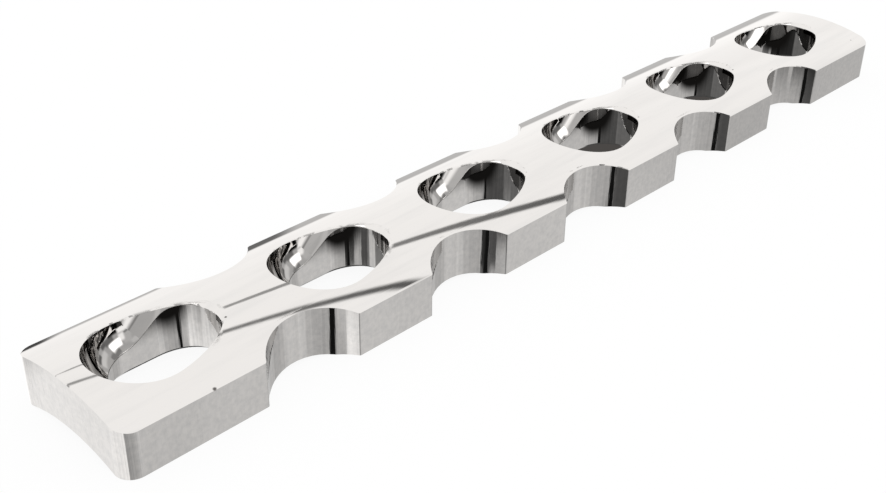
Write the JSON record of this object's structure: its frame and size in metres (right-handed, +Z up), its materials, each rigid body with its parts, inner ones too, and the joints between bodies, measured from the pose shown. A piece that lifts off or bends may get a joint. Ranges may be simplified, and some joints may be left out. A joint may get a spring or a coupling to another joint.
{
  "type": "acetabular plate",
  "caption": "Straight, slim bone plate with a crowned top, round side notches and slotted compression holes; bone screws clamp it over a fracture of the hip socket.",
  "frame": {"origin": "under the middle of the plate, in the plane of the two feet that it rests on", "axes": "+X along the plate towards the ramp end of each hole, +Y across the plate, +Z up from the bone side to the crowned screw side"},
  "size_m": [0.0716, 0.0098, 0.0036],
  "materials": {
    "polished_steel": "mirror polished surgical steel"
  },
  "bodies": {
    "root": {"plate": "polished_steel"}
  },
  "joints": []
}
